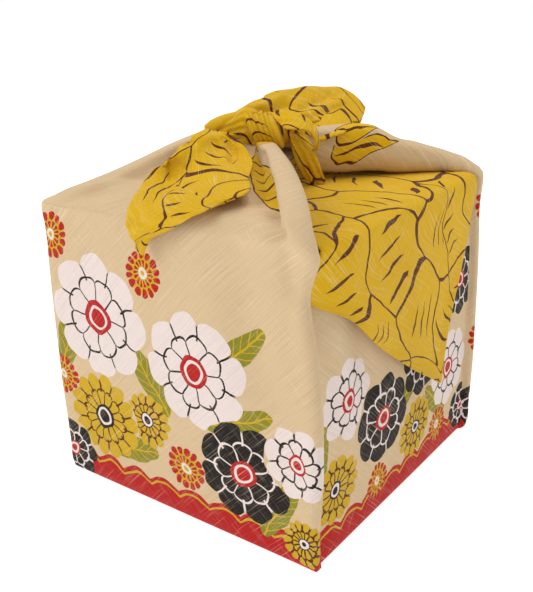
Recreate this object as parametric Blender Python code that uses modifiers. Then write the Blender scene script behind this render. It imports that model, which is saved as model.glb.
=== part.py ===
"""Furoshiki wrap: one square cotton cloth folded and knotted into a cube-shaped bundle.

The origin is the middle of the base, on the surface. The bundle's wide front face looks
towards -Y and the face with the hanging corner towards +X. Tables are in millimetres.
"""

import math

import bmesh
import bpy
from mathutils import Vector

MM = 0.001

# The bundle: a 200 mm square plan, 190 mm high to the folded top, in cloth 1.5 mm thick.
HALF_SIDE = 100.0
WALL_TOP = 184.0
CLOTH = 1.5

FACE_COLUMNS = (-0.86, -0.6, -0.3, 0.0, 0.3, 0.6, 0.86)
SIDE_COLUMNS = (-0.8, -0.55, -0.28, 0.0, 0.28, 0.55, 0.8)

# The walls, from the base up. in_by: how far the ring is drawn in, bulge: how far the middle of
# each face stands out, lip: how much of the rolled pleat stands at the four upright edges,
# pinch: how far the near edge's pleat is drawn back where the cloth is pulled tight.
WALL = [
    # height, in_by, bulge, lip, pinch
    (0.0, 3.0, 0.0, 0.0, 0.0),
    (0.9, 1.2, 0.0, 0.1, 0.0),
    (3.5, 0.2, 0.2, 0.2, 1.5),
    (20.0, 0.0, 1.0, 0.6, 2.0),
    (55.0, -0.2, 1.9, 1.0, 0.5),
    (95.0, -0.3, 2.3, 1.0, 0.0),
    (130.0, 0.0, 2.0, 1.0, 0.8),
    (150.0, 0.4, 1.6, 0.9, 3.2),
    (165.0, 0.8, 1.2, 0.8, 4.6),
    (176.0, 0.7, 0.8, 0.9, 3.2),
    (WALL_TOP, 0.3, 0.4, 1.0, 1.2),
]

# The rolled pleat at an edge of a gathered corner. out: past the edge, back: behind the face.
LIP = [
    # out, back
    (-9.0, -0.4),
    (-4.0, -1.2),
    (0.2, -0.6),
    (2.2, 2.2),
    (1.6, 5.6),
    (-1.6, 8.0),
]
CREASE_OUT, CREASE_BACK = LIP[-1]

# The four rolled edges that run from the upright edges over the top to the knot. x_out and
# y_out: distance from the middle, turn: 0 upright to 1 lying, drop: depth of the roll.
NEAR_EDGE = [
    # x_out, y_out, height, turn, drop
    (98.5, 101.5, 193.0, 0.35, 1.0),
    (95.5, 98.5, 203.0, 0.70, 1.0),
    (86.0, 87.5, 210.5, 0.90, 1.0),
    (72.5, 73.0, 215.5, 1.00, 1.0),
    (57.0, 57.0, 219.0, 1.00, 1.0),
    (42.0, 42.0, 221.0, 1.00, 1.0),
    (26.0, 26.0, 221.0, 1.00, 0.9),
    (11.0, 11.0, 220.0, 1.00, 0.7),
]
LEFT_EDGE = [
    (98.5, 100.0, 190.0, 0.40, 0.9),
    (94.5, 94.5, 193.5, 0.75, 0.6),
    (85.0, 85.0, 198.5, 0.92, 0.55),
    (70.0, 70.0, 205.0, 1.00, 0.8),
    (55.0, 55.0, 212.0, 1.00, 1.0),
    (41.0, 41.0, 219.0, 1.00, 1.0),
    (26.0, 26.0, 224.0, 1.00, 0.9),
    (12.0, 12.0, 224.0, 1.00, 0.7),
]
RIGHT_EDGE = [
    (99.5, 99.5, 191.5, 0.40, 0.9),
    (95.0, 95.0, 197.5, 0.75, 0.7),
    (86.0, 86.0, 203.0, 0.92, 0.9),
    (73.0, 73.0, 208.0, 1.00, 1.3),
    (60.0, 60.0, 213.5, 1.00, 1.9),
    (48.0, 48.0, 220.0, 1.00, 2.6),
    (31.0, 31.0, 221.0, 1.00, 2.7),
    (13.0, 13.0, 220.0, 1.00, 2.2),
]
FAR_EDGE = [
    (98.5, 100.0, 190.0, 0.40, 0.9),
    (94.5, 94.5, 194.0, 0.75, 0.6),
    (85.0, 85.0, 199.5, 0.92, 0.6),
    (70.0, 70.0, 205.5, 1.00, 0.8),
    (55.0, 55.0, 211.5, 1.00, 1.0),
    (41.0, 41.0, 217.0, 1.00, 1.0),
    (26.0, 26.0, 220.0, 1.00, 0.9),
    (12.0, 12.0, 220.0, 1.00, 0.7),
]

# The middle line of a gathered corner, from the top of its wall to the knot.
MIDDLE = [
    # out, height
    (99.2, 190.0),
    (94.5, 195.5),
    (85.0, 199.0),
    (70.0, 201.5),
    (54.0, 204.5),
    (39.0, 208.5),
    (25.0, 213.0),
    (14.0, 217.5),
]

# Soft folds across a gathered corner, by face column: how far each sinks on its way to the knot.
FRONT_FOLDS = (2.0, -1.0, 1.5, 0.0, -1.0, 4.0, 9.0)
BACK_FOLDS = (4.0, 0.0, 1.0, -1.0, 1.0, 0.0, 3.0)
FOLD_RISE = (0.1, 0.35, 0.75, 1.0, 1.0, 0.9, 0.6, 0.3)

# The corner that is folded over the top first, under the other one: from the +X wall to -X.
# tuck: how far its near end is drawn in behind the near edge's pleat.
UNDER_SHEET = [
    # x, height, tuck
    (98.4, 186.0, 2.6),
    (95.6, 186.8, 2.2),
    (80.0, 187.0, 0.0),
    (30.0, 187.0, 0.0),
    (-30.0, 187.0, 0.0),
    (-90.0, 187.0, 0.0),
]

# The corner that comes over it, from the -X wall across the top and over the +X edge.
OVER_SHEET = [
    # x, height, left end, right end, tuck
    (-98.8, 188.0, -90.5, 90.5, 0.0),
    (-96.0, 190.0, -90.0, 90.0, 0.0),
    (-86.0, 190.8, -90.0, 90.0, 0.0),
    (-45.0, 191.0, -90.0, 90.0, 0.0),
    (0.0, 191.0, -90.0, 90.0, 0.0),
    (45.0, 191.0, -90.0, 90.0, 0.0),
    (84.0, 191.0, -90.0, 90.0, 0.0),
    (96.5, 190.6, -90.5, 90.5, 0.8),
    (101.3, 188.7, -91.0, 91.0, 1.6),
    (103.0, 184.5, -91.5, 91.5, 2.6),
]

# Its hanging point on the +X face. Each row is a line across the cloth, from its left edge to
# its right edge, with how far the two ends and the middle stand off from the wall.
HANGING = [
    # left y, left z, right y, right z, left off, middle off, right off, tuck
    (-91.5, 165.0, 92.0, 170.0, 2.8, 3.8, 3.4, 5.4),
    (-67.0, 146.0, 88.5, 150.0, 4.0, 4.4, 3.6, 0.0),
    (-40.0, 126.0, 83.0, 128.0, 6.5, 4.6, 3.8, 0.0),
    (-14.0, 106.0, 75.5, 106.0, 9.0, 5.0, 4.0, 0.0),
    (9.0, 88.0, 66.5, 85.0, 10.0, 6.4, 4.6, 0.0),
    (29.0, 71.5, 57.5, 69.0, 9.0, 7.8, 6.0, 0.0),
    (44.5, 58.5, 49.5, 57.5, 8.0, 8.0, 8.0, 0.0),
]
TUCK_SHARPNESS = 14

# The knot and its ends are lofted strands: half wide across the strand, half high square to it.
CORE = [
    # x, y, z, half wide, half high
    (0.0, -19.0, 218.5, 7.0, 4.0),
    (0.0, -14.0, 220.0, 10.5, 6.5),
    (0.0, -5.0, 222.5, 11.0, 9.0),
    (0.0, 5.0, 222.5, 11.0, 9.0),
    (0.0, 14.0, 220.5, 11.0, 7.0),
    (0.0, 19.0, 219.0, 7.0, 4.0),
]
# The turn of cloth across the knot, drawn into tight creases that lean back as they rise.
WRAP = [
    # y, half wide, half high
    (-14.0, 8.0, 8.0),
    (-12.0, 11.5, 12.2),
    (-9.0, 12.8, 13.6),
    (-6.0, 11.6, 12.2),
    (-3.0, 13.4, 14.4),
    (0.2, 12.2, 13.0),
    (3.4, 13.6, 14.4),
    (6.4, 12.2, 12.8),
    (9.2, 13.0, 13.2),
    (12.0, 11.0, 11.6),
    (13.6, 7.5, 8.0),
]
WRAP_MIDDLE = (1.0, -2.0, 224.8)
WRAP_LEAN = 0.35

LEFT_LOBE = [
    # x, y, z, half wide, half high
    (-1.0, -9.0, 227.0, 8.0, 8.0),
    (-2.0, -15.0, 228.5, 10.5, 10.0),
    (-4.5, -22.0, 228.5, 12.0, 10.5),
    (-8.0, -29.5, 227.0, 12.0, 9.5),
    (-11.5, -36.0, 224.5, 10.5, 7.5),
    (-14.5, -41.0, 222.5, 7.5, 4.8),
    (-16.5, -44.0, 221.6, 3.5, 2.2),
]

# The loop at the other side is a band of cloth, open towards the front.
LOOP = [
    # x, y, z, half wide
    (2.0, 3.0, 236.6, 8.0),
    (10.0, 4.0, 237.4, 9.0),
    (18.0, 6.0, 235.4, 9.5),
    (24.5, 8.0, 229.5, 9.0),
    (27.0, 10.0, 221.5, 8.0),
    (24.5, 12.0, 213.5, 7.0),
    (18.0, 13.0, 208.5, 6.0),
]
LOOP_ACROSS = (-1.0, -0.5, 0.0, 0.5, 1.0)
LOOP_SAG = 1.2

NECK = [
    # x, y, z, half wide, half high
    (3.0, 5.0, 226.0, 6.0, 6.0),
    (7.0, 9.0, 218.0, 7.5, 6.5),
    (11.0, 13.0, 209.0, 7.5, 6.0),
    (14.0, 16.5, 202.0, 7.0, 5.0),
    (16.0, 19.0, 198.0, 4.0, 3.0),
]

# The free ends are the cloth's own corners, folded double and spread flat like leaves.
LEFT_END = [
    # x, y, z, across x, across y, across z, half wide
    (-8.0, -26.0, 219.0, 0.98, -0.10, 0.05, 12.0),
    (-5.0, -41.0, 217.0, 0.99, -0.10, 0.00, 23.0),
    (0.0, -57.0, 214.0, 0.99, -0.14, 0.00, 30.5),
    (4.0, -74.0, 210.5, 0.98, -0.18, 0.00, 33.0),
    (7.0, -90.0, 207.0, 0.98, -0.16, 0.08, 31.5),
    (6.0, -102.0, 200.5, 0.97, -0.06, 0.20, 26.5),
    (0.0, -107.5, 191.0, 0.96, -0.02, 0.26, 19.0),
    (-6.5, -109.0, 182.5, 0.95, 0.00, 0.30, 12.0),
    (-10.0, -109.5, 178.5, 0.95, 0.00, 0.30, 8.0),
]
RIGHT_END = [
    (0.0, 9.0, 235.5, 0.86, -0.20, -0.45, 13.0),
    (3.0, 21.0, 236.0, 0.82, -0.18, -0.52, 19.0),
    (7.0, 33.0, 235.0, 0.80, -0.14, -0.58, 22.5),
    (11.5, 45.0, 233.5, 0.79, -0.14, -0.59, 23.5),
    (16.0, 56.0, 232.0, 0.80, -0.12, -0.58, 20.5),
    (21.0, 65.5, 230.8, 0.81, -0.10, -0.57, 14.5),
    (25.0, 73.0, 230.0, 0.82, -0.08, -0.56, 8.0),
]
# A folded end in section, seen along it: across in half widths, ripple in millimetres where the
# end is widest, below: how far the under layer lies beneath the upper one.
END_SECTION = [
    # across, ripple, below
    (1.00, 0.2, 0.0),
    (0.72, 1.4, 0.0),
    (0.38, 0.2, 0.0),
    (0.05, -1.2, 0.0),
    (-0.30, 0.6, 0.0),
    (-0.66, 2.0, 0.0),
    (-0.92, 0.8, 0.0),
    (-1.00, 0.0, 2.4),
    (-0.91, 0.0, 4.8),
    (-0.45, 0.0, 5.2),
    (0.05, 0.0, 5.4),
    (0.50, 0.0, 5.2),
    (0.88, 0.0, 4.8),
]
# The right end is only turned under along its far edge.
TURNED_UNDER = 10
END_WIDEST = 33.0

STRAND_SIDES = 14


def remove_everything():
    for item in list(bpy.data.objects):
        bpy.data.objects.remove(item, do_unlink=True)


def new_collection(name):
    found = bpy.data.collections.get(name) or bpy.data.collections.new(name)
    if name not in bpy.context.scene.collection.children:
        bpy.context.scene.collection.children.link(found)
    return found


def add_mesh(name, shape, collection):
    """Turn a bmesh in millimetres into an object in metres."""
    bmesh.ops.scale(shape, vec=(MM, MM, MM), verts=shape.verts)
    mesh = bpy.data.meshes.new(name)
    shape.to_mesh(mesh)
    shape.free()
    mesh.shade_smooth()
    item = bpy.data.objects.new(name, mesh)
    collection.objects.link(item)
    return item


def bridge_rows(shape, first, second):
    """Join two rows of as many vertices with one strip of faces."""
    for left, right in zip(range(len(first) - 1), range(1, len(first))):
        shape.faces.new((first[left], first[right], second[right], second[left]))


def face_bulge(column, bulge):
    return bulge * (1.0 - column * column)


def lip_point(out, back, amount):
    """A point of the rolled pleat when only part of it stands out."""
    if out > 0.0:
        out *= amount
    if back < 0.0:
        back *= amount
    return out, back


def wall_ring(height, in_by, bulge, lip, pinch):
    """One level of the wrap, as front, right, back and left runs of points, anticlockwise."""
    half = HALF_SIDE - in_by
    rolled = [lip_point(out, back, lip) for out, back in LIP]
    inner = LIP[0][0]
    front = [Vector((-half - out, -half + back, height)) for out, back in reversed(rolled)]
    for column in FACE_COLUMNS:
        front.append(Vector((column * (half + inner), -half - face_bulge(column, bulge), height)))
    front += [Vector((half + out, -half + back, height)) for out, back in rolled]
    back_run = [Vector((-point.x, -point.y, height)) for point in front]
    for point in front[-len(LIP):]:
        point.x -= pinch
    recess = half + CREASE_OUT
    right = []
    for column in SIDE_COLUMNS:
        across = column * (half - CREASE_BACK)
        right.append(Vector((recess + face_bulge(column, bulge), across, height)))
    left = [Vector((-point.x, -point.y, height)) for point in right]
    return front, right, back_run, left


def gathered_row(step, low_edge, high_edge, folds, facing):
    """One row of a gathered corner; facing is -1 for the front one and 1 for the back one.

    low_edge rises from the row's first upright edge and high_edge from its last one, and the
    row runs the way the wall below it does.
    """
    corners = {}
    for side, table in ((-1, low_edge), (1, high_edge)):
        x_out, y_out, height, turn, drop = table[step]
        across = -side * facing
        corner = Vector((across * x_out, facing * y_out, height))
        upright = Vector((across, 0.0, 0.0))
        lying = Vector((across, -facing, 0.0)).normalized()
        outward = upright.lerp(lying, turn).normalized()
        normal = Vector((0.0, facing, 0.0)).lerp(Vector((0.0, 0.0, 1.0)), turn).normalized()
        run = []
        for lip_out, lip_back in LIP:
            run.append(corner + outward * lip_out - normal * lip_back * drop)
        corners[side] = run
    middle_out, middle_height = MIDDLE[step]
    middle = Vector((0.0, facing * middle_out, middle_height))
    first = corners[-1][0]
    last = corners[1][0]
    rise = middle - first.lerp(last, 0.5)
    points = list(reversed(corners[-1]))
    for column, fold in zip(FACE_COLUMNS, folds):
        point = first.lerp(last, 0.5 + 0.5 * column) + rise * (1.0 - column * column)
        point.z -= fold * FOLD_RISE[step]
        points.append(point)
    return points + corners[1]


def nearness(y, crease):
    """0 at a sheet's far end and 1 at its near end."""
    return 0.5 - 0.5 * y / crease


def tucked(share, tuck):
    """How far a point is drawn in; only the near end is."""
    return tuck * share ** TUCK_SHARPNESS


def build_cloth(collection):
    """The cloth as one open surface: base, walls and the four corners folded in."""
    shape = bmesh.new()
    runs = []
    for row in WALL:
        level = []
        for run in wall_ring(*row):
            level.append([shape.verts.new(point) for point in run])
        runs.append(level)
    for lower, upper in zip(runs, runs[1:]):
        around_low = [vert for run in lower for vert in run]
        around_high = [vert for run in upper for vert in run]
        bridge_rows(shape, around_low + around_low[:1], around_high + around_high[:1])
    base = [vert for run in runs[0] for vert in run]
    shape.faces.new(list(reversed(base)))
    front, right, back_run, left = runs[-1]

    for wall, low_edge, high_edge, folds, facing in (
        (front, LEFT_EDGE, NEAR_EDGE, FRONT_FOLDS, -1),
        (back_run, RIGHT_EDGE, FAR_EDGE, BACK_FOLDS, 1),
    ):
        below = wall
        for step in range(len(MIDDLE)):
            points = gathered_row(step, low_edge, high_edge, folds, facing)
            above = [shape.verts.new(point) for point in points]
            bridge_rows(shape, below, above)
            below = above

    below = [front[-1]] + right + [back_run[0]]
    crease = below[-1].co.y
    for x, height, tuck in UNDER_SHEET:
        above = []
        for vert in below:
            y = vert.co.y
            above.append(shape.verts.new((x - tucked(nearness(y, crease), tuck), y, height)))
        bridge_rows(shape, below, above)
        below = above

    below = [back_run[-1]] + left + [front[0]]
    shares = [nearness(vert.co.y, crease) for vert in below]
    for x, height, left_end, right_end, tuck in OVER_SHEET:
        above = []
        for share in shares:
            y = right_end + (left_end - right_end) * share
            above.append(shape.verts.new((x - tucked(share, tuck), y, height)))
        bridge_rows(shape, below, above)
        below = above
    for left_y, left_z, right_y, right_z, left_off, middle_off, right_off, tuck in HANGING:
        above = []
        for share in shares:
            off = right_off + (left_off - right_off) * share
            off += (middle_off - 0.5 * (left_off + right_off)) * 4.0 * share * (1.0 - share)
            above.append(shape.verts.new((
                HALF_SIDE + off - tucked(share, tuck),
                right_y + (left_y - right_y) * share,
                right_z + (left_z - right_z) * share,
            )))
        bridge_rows(shape, below, above)
        below = above

    item = add_mesh("furoshiki_cloth", shape, collection)
    thicken(item)
    return item


def thicken(item):
    solidify = item.modifiers.new("one layer of cloth", "SOLIDIFY")
    solidify.thickness = CLOTH * MM
    solidify.offset = -1.0
    solidify.use_rim = True


def strand_frames(centres, side_hint):
    """Side and up vectors at each point of a strand's path."""
    frames = []
    for index, centre in enumerate(centres):
        before = centres[max(index - 1, 0)]
        after = centres[min(index + 1, len(centres) - 1)]
        along = (after - before).normalized()
        side = (side_hint - along * side_hint.dot(along)).normalized()
        frames.append((side, side.cross(along)))
    return frames


def build_strand(name, rows, side_hint, collection):
    """A closed strand of cloth with an oval section at each row."""
    shape = bmesh.new()
    centres = [Vector(row[:3]) for row in rows]
    frames = strand_frames(centres, Vector(side_hint))
    rings = []
    for row, centre, (side, up) in zip(rows, centres, frames):
        half_wide, half_high = row[3:5]
        ring = []
        for number in range(STRAND_SIDES):
            angle = 2.0 * math.pi * number / STRAND_SIDES
            point = centre + side * half_wide * math.cos(angle) + up * half_high * math.sin(angle)
            ring.append(shape.verts.new(point))
        rings.append(ring)
    for lower, upper in zip(rings, rings[1:]):
        bridge_rows(shape, lower + lower[:1], upper + upper[:1])
    shape.faces.new(list(reversed(rings[0])))
    shape.faces.new(rings[-1])
    bmesh.ops.recalc_face_normals(shape, faces=shape.faces)
    return add_mesh(name, shape, collection)


def build_wrap(collection):
    rows = []
    for y, half_wide, half_high in WRAP:
        rows.append((WRAP_MIDDLE[0], WRAP_MIDDLE[1] + y, WRAP_MIDDLE[2], half_wide, half_high))
    item = build_strand("knot wrap", rows, (1.0, 0.0, 0.0), collection)
    for vert in item.data.vertices:
        vert.co.y += WRAP_LEAN * (vert.co.z - WRAP_MIDDLE[2] * MM)
    return item


def build_loop(collection):
    """The open loop: a strip swept along its path, wide along Y, then thickened."""
    shape = bmesh.new()
    below = None
    for x, y, height, half_wide in LOOP:
        above = []
        for share in LOOP_ACROSS:
            sag = LOOP_SAG * share * share
            above.append(shape.verts.new((x, y + share * half_wide, height - sag)))
        if below:
            bridge_rows(shape, below, above)
        below = above
    item = add_mesh("knot loop", shape, collection)
    thicken(item)
    return item


def build_end(name, rows, section, collection):
    """A free end: the folded section swept along the leaf."""
    shape = bmesh.new()
    centres = [Vector(row[:3]) for row in rows]
    below = None
    for index, row in enumerate(rows):
        across = Vector(row[3:6]).normalized()
        half_wide = row[6]
        before = centres[max(index - 1, 0)]
        after = centres[min(index + 1, len(rows) - 1)]
        up = (after - before).cross(across).normalized()
        if up.z < 0.0:
            up = -up
        above = []
        for share, ripple, under in section:
            lift = ripple * half_wide / END_WIDEST - under
            above.append(shape.verts.new(centres[index] + across * share * half_wide + up * lift))
        if below:
            bridge_rows(shape, below, above)
        below = above
    shape.normal_update()
    shape.faces.ensure_lookup_table()
    if shape.faces[0].normal.z < 0.0:
        bmesh.ops.reverse_faces(shape, faces=shape.faces)
    item = add_mesh(name, shape, collection)
    thicken(item)
    return item


def split_to_triangles(item):
    item.modifiers.new("flat facets", "TRIANGULATE")


def join_to(cloth, pieces):
    """Union the pieces with the cloth, all of flat facets, so that each cut is exact."""
    split_to_triangles(cloth)
    for piece in pieces:
        split_to_triangles(piece)
        piece.hide_render = True
        piece.display_type = "WIRE"
        union = cloth.modifiers.new("joined " + piece.name, "BOOLEAN")
        union.operation = "UNION"
        union.solver = "EXACT"
        union.object = piece


def cotton(item):
    material = bpy.data.materials.new("printed cotton")
    material.use_nodes = True
    surface = material.node_tree.nodes["Principled BSDF"]
    surface.inputs["Base Color"].default_value = (0.56, 0.43, 0.27, 1.0)
    surface.inputs["Roughness"].default_value = 0.85
    surface.inputs["Metallic"].default_value = 0.0
    item.data.materials.append(material)


remove_everything()
wrap_collection = new_collection("furoshiki wrap")
knot_collection = new_collection("knot strands")
cloth = build_cloth(wrap_collection)
strands = [
    build_strand("left lobe", LEFT_LOBE, (1.0, 0.0, 0.0), knot_collection),
    build_end("left end", LEFT_END, END_SECTION, knot_collection),
    build_strand("knot core", CORE, (1.0, 0.0, 0.0), knot_collection),
    build_wrap(knot_collection),
    build_loop(knot_collection),
    build_strand("back neck", NECK, (0.8, -0.6, 0.0), knot_collection),
    build_end("right end", RIGHT_END, END_SECTION[:TURNED_UNDER], knot_collection),
]
join_to(cloth, strands)
cotton(cloth)
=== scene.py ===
import math

import bmesh
import bpy
import numpy as np
from mathutils import Matrix, Vector, noise


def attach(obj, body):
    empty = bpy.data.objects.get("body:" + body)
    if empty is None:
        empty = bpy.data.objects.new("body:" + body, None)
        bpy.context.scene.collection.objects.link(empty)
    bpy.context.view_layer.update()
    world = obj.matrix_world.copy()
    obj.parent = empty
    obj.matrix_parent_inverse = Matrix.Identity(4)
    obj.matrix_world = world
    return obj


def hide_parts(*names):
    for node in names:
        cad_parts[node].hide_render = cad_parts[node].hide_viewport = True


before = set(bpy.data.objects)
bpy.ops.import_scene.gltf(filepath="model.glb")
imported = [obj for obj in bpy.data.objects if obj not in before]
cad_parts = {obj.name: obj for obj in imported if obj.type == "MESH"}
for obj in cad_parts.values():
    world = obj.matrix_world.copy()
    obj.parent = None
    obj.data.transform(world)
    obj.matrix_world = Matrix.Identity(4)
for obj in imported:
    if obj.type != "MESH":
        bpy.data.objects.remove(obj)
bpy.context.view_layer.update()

# The wrapping cloth: one square of cotton that stands on its flat middle and rises as four walls,
# with a rolled pleat at each upright edge. Two corners are folded over the top, the upper one down
# the +X face, and two are gathered up to the knot. It is made in millimetres, as four fine nets.
MM = 0.001
WELD = 0.001
PITCH = 3.2
HALF_SIDE = 100.0
WALL_TOP = 184.0
CLOTH = 0.9

# Where a wall has its coarse points, as shares of its half width: on the gathered sides and on
# the folded ones.
FACE_COLUMNS = (-0.86, -0.6, -0.3, 0.0, 0.3, 0.6, 0.86)
SIDE_COLUMNS = (-0.8, -0.55, -0.28, 0.0, 0.28, 0.55, 0.8)

WALL = [
    # height, in_by, bulge, lip, pinch
    (0.0, 1.6, 0.0, 0.0, 0.0),
    (0.9, 0.4, 0.0, 0.1, 0.0),
    (3.5, 0.0, 0.2, 0.3, 0.8),
    (20.0, 0.0, 1.0, 0.6, 2.0),
    (55.0, -0.2, 1.9, 1.0, 0.5),
    (95.0, -0.3, 2.3, 1.0, 0.0),
    (130.0, 0.0, 2.0, 1.0, 2.2),
    (150.0, 0.4, 1.6, 0.9, 5.6),
    (165.0, 0.8, 1.2, 0.8, 6.4),
    (176.0, 0.7, 0.8, 0.9, 3.6),
    (WALL_TOP, 0.3, 0.4, 1.0, 1.2),
]
# The section of the pleat that stands at an upright edge.
LIP = [
    # out, back
    (-9.0, -0.4),
    (-4.0, -1.2),
    (0.2, -0.8),
    (2.4, 1.6),
    (2.2, 4.8),
    (-2.2, 6.8),
]
CREASE_OUT, CREASE_BACK = LIP[-1]

# The gathered corners' pleats from the walls up to the knot, and the cloth between each two.
NEAR_EDGE = [
    # x_out, y_out, height, turn, drop
    (98.5, 101.5, 193.0, 0.35, 1.0),
    (95.5, 98.5, 203.0, 0.70, 1.0),
    (86.0, 87.5, 210.5, 0.90, 1.0),
    (72.5, 73.0, 215.5, 1.00, 1.0),
    (57.0, 57.0, 219.0, 1.00, 1.0),
    (42.0, 42.0, 221.0, 1.00, 1.0),
    (26.0, 26.0, 221.0, 1.00, 0.9),
    (11.0, 11.0, 220.0, 1.00, 0.7),
]
LEFT_EDGE = [
    (98.5, 100.0, 188.5, 0.40, 0.9),
    (94.5, 94.5, 191.5, 0.75, 0.6),
    (85.0, 85.0, 196.5, 0.92, 0.55),
    (70.0, 70.0, 203.5, 1.00, 0.8),
    (55.0, 55.0, 211.5, 1.00, 1.0),
    (41.0, 41.0, 219.5, 1.00, 1.0),
    (26.0, 26.0, 225.5, 1.00, 0.9),
    (12.0, 12.0, 224.0, 1.00, 0.7),
]
RIGHT_EDGE = [
    (99.5, 99.5, 190.0, 0.40, 1.0),
    (95.0, 95.0, 195.0, 0.75, 1.1),
    (86.0, 86.0, 200.0, 0.92, 1.5),
    (73.0, 73.0, 205.5, 1.00, 2.1),
    (60.0, 60.0, 211.0, 1.00, 2.8),
    (48.0, 48.0, 219.0, 1.00, 3.6),
    (31.0, 31.0, 220.5, 1.00, 3.8),
    (13.0, 13.0, 219.5, 1.00, 3.0),
]
FAR_EDGE = [
    (98.5, 100.0, 190.0, 0.40, 0.9),
    (94.5, 94.5, 194.0, 0.75, 0.6),
    (85.0, 85.0, 199.5, 0.92, 0.6),
    (70.0, 70.0, 205.5, 1.00, 0.8),
    (55.0, 55.0, 211.5, 1.00, 1.0),
    (41.0, 41.0, 217.0, 1.00, 1.0),
    (26.0, 26.0, 220.0, 1.00, 0.9),
    (12.0, 12.0, 220.0, 1.00, 0.7),
]
MIDDLE = [
    # out, height
    (99.2, 190.0),
    (94.5, 195.5),
    (85.0, 199.0),
    (70.0, 201.5),
    (54.0, 204.5),
    (39.0, 208.5),
    (25.0, 213.0),
    (14.0, 217.5),
]
FRONT_FOLDS = (2.0, -1.0, 1.5, 0.0, -1.0, 4.0, 9.0)
BACK_FOLDS = (4.0, 0.0, 1.0, -1.0, 1.0, 0.0, 3.0)
FOLD_RISE = (0.1, 0.35, 0.75, 1.0, 1.0, 0.9, 0.6, 0.3)

# The corner that is folded over first, the one over it, and that one's part that hangs down.
UNDER_SHEET = [
    # x, height, tuck
    (98.4, 186.0, 2.6),
    (95.6, 186.8, 2.2),
    (80.0, 187.0, 0.0),
    (30.0, 187.0, 0.0),
    (-30.0, 187.0, 0.0),
    (-90.0, 187.0, 0.0),
]
OVER_SHEET = [
    # x, height, left end, right end, tuck
    (-98.8, 188.0, -90.5, 90.5, 0.0),
    (-96.0, 190.0, -90.0, 90.0, 0.0),
    (-86.0, 190.8, -90.0, 90.0, 0.0),
    (-45.0, 191.0, -90.0, 90.0, 0.0),
    (0.0, 191.0, -90.0, 90.0, 0.0),
    (45.0, 191.0, -90.0, 90.0, 0.0),
    (84.0, 191.0, -90.0, 90.0, 0.0),
    (96.5, 190.6, -90.8, 89.8, 0.8),
    (101.3, 188.7, -92.0, 88.4, 1.8),
    (103.0, 184.5, -93.5, 86.4, 4.2),
]
HANGING = [
    # left y, left z, right y, right z, left off, middle off, right off, tuck
    (-97.0, 165.5, 82.5, 171.0, 2.8, 3.8, 3.0, 9.6),
    (-70.0, 145.0, 75.0, 150.5, 4.0, 4.4, 3.4, 0.0),
    (-44.0, 120.5, 66.0, 129.0, 6.0, 4.6, 3.8, 0.0),
    (-17.0, 99.5, 55.5, 108.5, 8.5, 5.0, 4.4, 0.0),
    (4.0, 84.5, 47.0, 90.5, 9.6, 6.4, 5.4, 0.0),
    (20.5, 74.0, 40.5, 77.5, 9.6, 7.8, 7.0, 0.0),
    (31.5, 66.0, 36.0, 66.0, 9.0, 8.8, 8.4, 0.0),
]
TUCK_SHARPNESS = 14

# Soft creases of each panel, on the flat cloth: a line across and up, its width and its rise.
FRONT_CREASES = [
    # across, up, across, up, width, rise
    (29.0, 300.0, 53.0, 247.0, 3.8, -3.6),
    (53.0, 247.0, 65.0, 221.0, 4.6, -4.8),
    (65.0, 221.0, 80.0, 200.0, 5.0, -4.4),
    (80.0, 200.0, 88.0, 172.0, 6.0, -2.8),
    (10.0, 296.0, 26.0, 250.0, 6.0, 1.2),
    (-72.0, 231.0, -42.0, 239.0, 4.0, -1.6),
    (-70.0, 219.0, -24.0, 222.0, 6.0, 1.1),
    (-22.0, 276.0, -46.0, 226.0, 9.0, -1.6),
    (-60.0, 232.0, -88.0, 206.0, 6.0, 1.3),
    (-46.0, 224.0, -86.0, 190.0, 7.0, -1.0),
    (60.0, 150.0, 84.0, 30.0, 12.0, -0.8),
    (-84.0, 170.0, -88.0, 60.0, 9.0, 0.7),
    (20.0, 120.0, 46.0, 60.0, 20.0, 0.9),
    (50.0, 200.0, 66.0, 110.0, 12.0, -2.4),
    (26.0, 196.0, 42.0, 100.0, 13.0, 1.2),
    (-40.0, 200.0, -70.0, 140.0, 16.0, -1.4),
]
BACK_CREASES = [
    (8.0, 296.0, 42.0, 236.0, 8.0, -1.8),
    (-12.0, 288.0, -40.0, 226.0, 9.0, -1.6),
    (0.0, 280.0, 6.0, 230.0, 8.0, 1.2),
    (-60.0, 240.0, -84.0, 200.0, 7.0, 1.2),
    (70.0, 240.0, 90.0, 214.0, 7.0, -1.2),
    (-20.0, 130.0, -50.0, 40.0, 22.0, 0.9),
]
RIGHT_CREASES = [
    (-88.0, 120.0, -60.0, 20.0, 12.0, -0.9),
    (-50.0, 90.0, 20.0, 40.0, 20.0, 0.7),
    (-58.0, 150.0, -40.0, 70.0, 9.0, -2.0),
    (-78.0, 140.0, -62.0, 50.0, 7.0, 1.6),
    (60.0, 70.0, 84.0, 10.0, 14.0, -0.7),
]
LEFT_CREASES = [
    (-70.0, 150.0, -84.0, 40.0, 12.0, 0.8),
    (40.0, 140.0, 70.0, 50.0, 20.0, -0.9),
    (-60.0, 440.0, 20.0, 520.0, 14.0, -1.0),
    (70.0, 400.0, 40.0, 500.0, 16.0, 0.8),
]
STILL_BORDER = 8.0
LUMPS = 0.5
LUMP_SIZE = 45.0
LUMP_SLICE = 7.0


def rolled_edge(lip):
    """The pleat that stands at an upright edge, when only part of it does."""
    return [(out * lip if out > 0.0 else out, back * lip if back < 0.0 else back)
            for out, back in LIP]


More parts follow.
